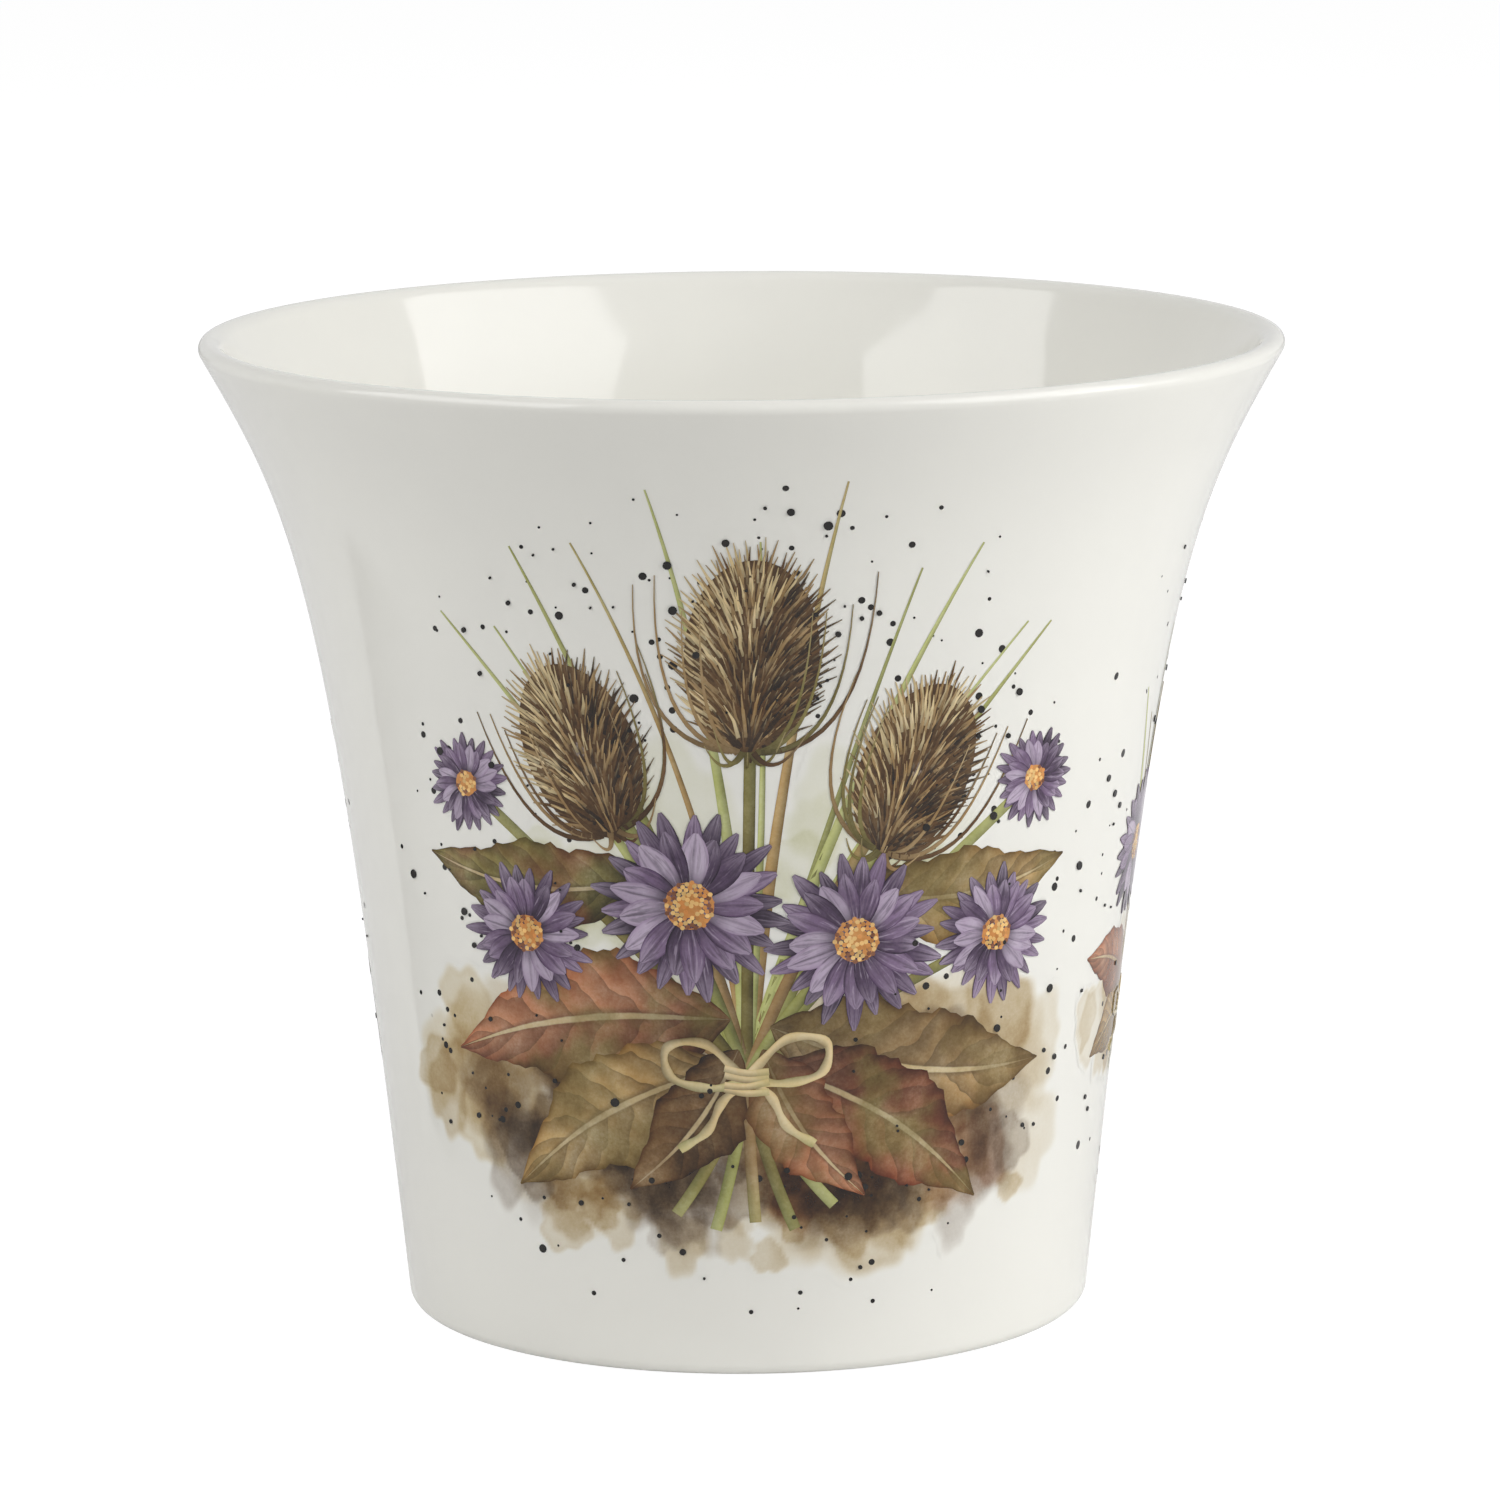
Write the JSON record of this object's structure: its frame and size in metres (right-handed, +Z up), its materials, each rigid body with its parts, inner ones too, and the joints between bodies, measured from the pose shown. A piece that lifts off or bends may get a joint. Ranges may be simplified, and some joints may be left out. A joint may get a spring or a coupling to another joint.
{
  "type": "plant pot",
  "caption": "Flared glossy china plant pot with a rounded lip, a recessed foot ring and printed flower sprays fired on its outside; holds a houseplant in its nursery pot.",
  "frame": {"origin": "middle of the foot ring's resting face, on the pot's axis", "axes": "+Z up along the pot's axis, -Y towards the front spray, +X towards the right side seen from the front"},
  "size_m": [0.14, 0.14, 0.1273],
  "materials": {
    "china": "clear glossy glaze over warm white china, bare on the foot ring",
    "spray_print": "printed transfer in browns, purples and greens under the gloss of the glaze",
    "sprig_print": "printed transfer in purples, browns and greens under the gloss of the glaze"
  },
  "bodies": {
    "root": {"pot_body": "china", "front_spray_transfer": "spray_print", "back_spray_transfer": "spray_print", "right_sprig_transfer": "sprig_print", "left_sprig_transfer": "sprig_print"}
  },
  "joints": []
}
